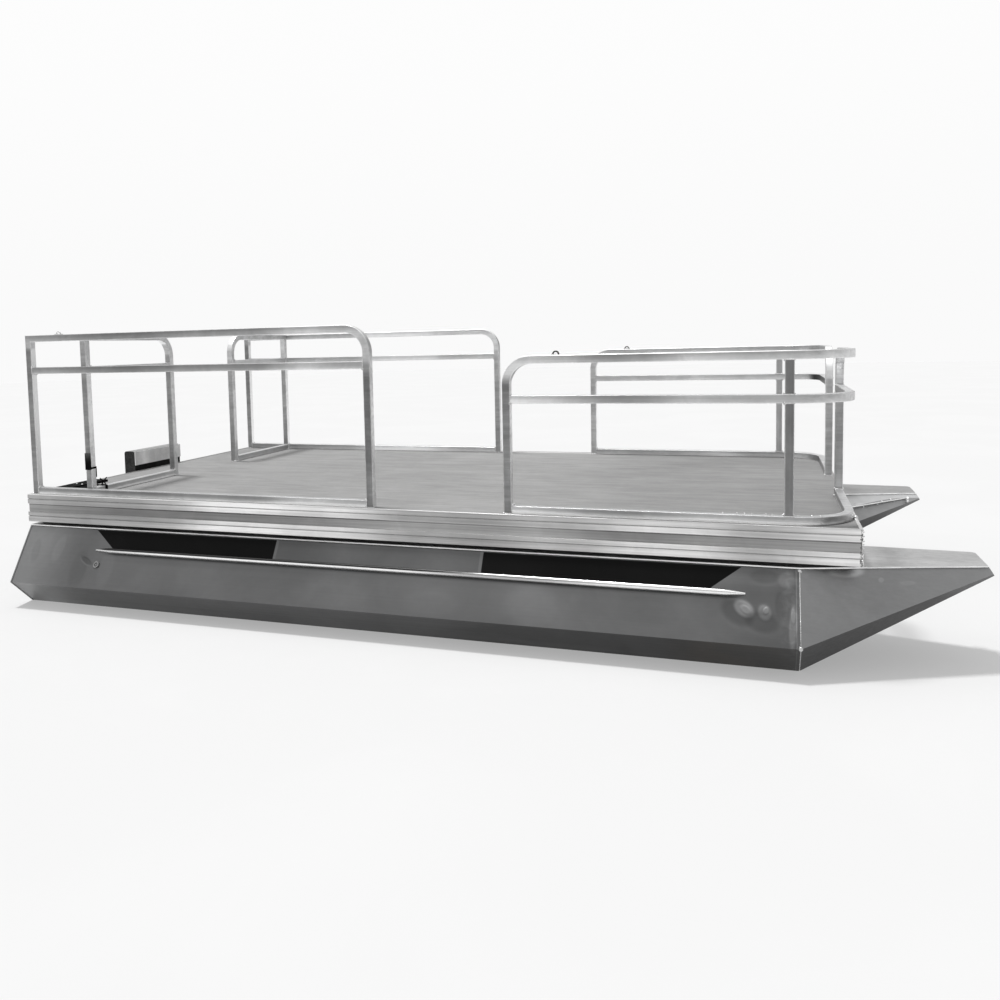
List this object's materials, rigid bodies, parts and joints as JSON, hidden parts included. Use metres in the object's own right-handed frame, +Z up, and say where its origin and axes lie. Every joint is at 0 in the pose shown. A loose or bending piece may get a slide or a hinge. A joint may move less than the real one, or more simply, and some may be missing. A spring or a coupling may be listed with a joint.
{
  "type": "pontoon boat",
  "caption": "Small open aluminium pontoon boat: two flat-sided hexagonal pontoons under a bare railed deck with a motor board at the stern.",
  "frame": {"origin": "on the ground that the pontoons stand on, under the middle of the boat's box", "axes": "+X to the bow, +Y to port, +Z up"},
  "size_m": [4.172, 2.336, 1.2977],
  "materials": {
    "hull_aluminium": "brushed, with a black band on each outer side",
    "plate_aluminium": "mill",
    "bright_aluminium": "polished",
    "trim_aluminium": "satin",
    "rail_aluminium": "brushed",
    "deck_vinyl": "matt, fine grained",
    "plywood": "marine plywood",
    "black_board": "matt",
    "black_rubber": "matt"
  },
  "bodies": {
    "root": {"bow_edge_trim": "trim_aluminium", "corner_post_wrap": "black_rubber", "cross_members": "plate_aluminium", "floor_panel": "plywood", "flooring": "deck_vinyl", "motor_board": "black_board", "motor_board_arms": "plate_aluminium", "motor_face_plate": "bright_aluminium", "port_aft_base_rail": "rail_aluminium", "port_aft_mid_rail": "rail_aluminium", "port_aft_rail_hoop": "rail_aluminium", "port_air_plug": "bright_aluminium", "port_bow_base_rail": "rail_aluminium", "port_bow_eye": "bright_aluminium", "port_bow_mid_rail": "rail_aluminium", "port_bow_posts": "rail_aluminium", "port_bow_rail_hoop": "rail_aluminium", "port_deck_risers": "plate_aluminium", "port_edge_trim": "trim_aluminium", "port_pontoon": "hull_aluminium", "port_pontoon_nose": "hull_aluminium", "port_pontoon_top_plate": "plate_aluminium", "port_pontoon_transom": "hull_aluminium", "port_rub_bar": "bright_aluminium", "port_spray_rail": "bright_aluminium", "port_stern_base_rail": "rail_aluminium", "port_stern_mid_rail": "rail_aluminium", "port_stern_rail_hoop": "rail_aluminium", "starboard_aft_base_rail": "rail_aluminium", "starboard_aft_mid_rail": "rail_aluminium", "starboard_aft_rail_hoop": "rail_aluminium", "starboard_air_plug": "bright_aluminium", "starboard_bow_base_rail": "rail_aluminium", "starboard_bow_eye": "bright_aluminium", "starboard_bow_mid_rail": "rail_aluminium", "starboard_bow_posts": "rail_aluminium", "starboard_bow_rail_hoop": "rail_aluminium", "starboard_deck_risers": "plate_aluminium", "starboard_edge_trim": "trim_aluminium", "starboard_pontoon": "hull_aluminium", "starboard_pontoon_nose": "hull_aluminium", "starboard_pontoon_top_plate": "plate_aluminium", "starboard_pontoon_transom": "hull_aluminium", "starboard_rub_bar": "bright_aluminium", "starboard_spray_rail": "bright_aluminium", "starboard_stern_base_rail": "rail_aluminium", "starboard_stern_mid_rail": "rail_aluminium", "starboard_stern_rail_hoop": "rail_aluminium", "stern_edge_trim": "trim_aluminium", "stern_step_pad": "black_rubber", "strap_eyes": "bright_aluminium"}
  },
  "joints": []
}
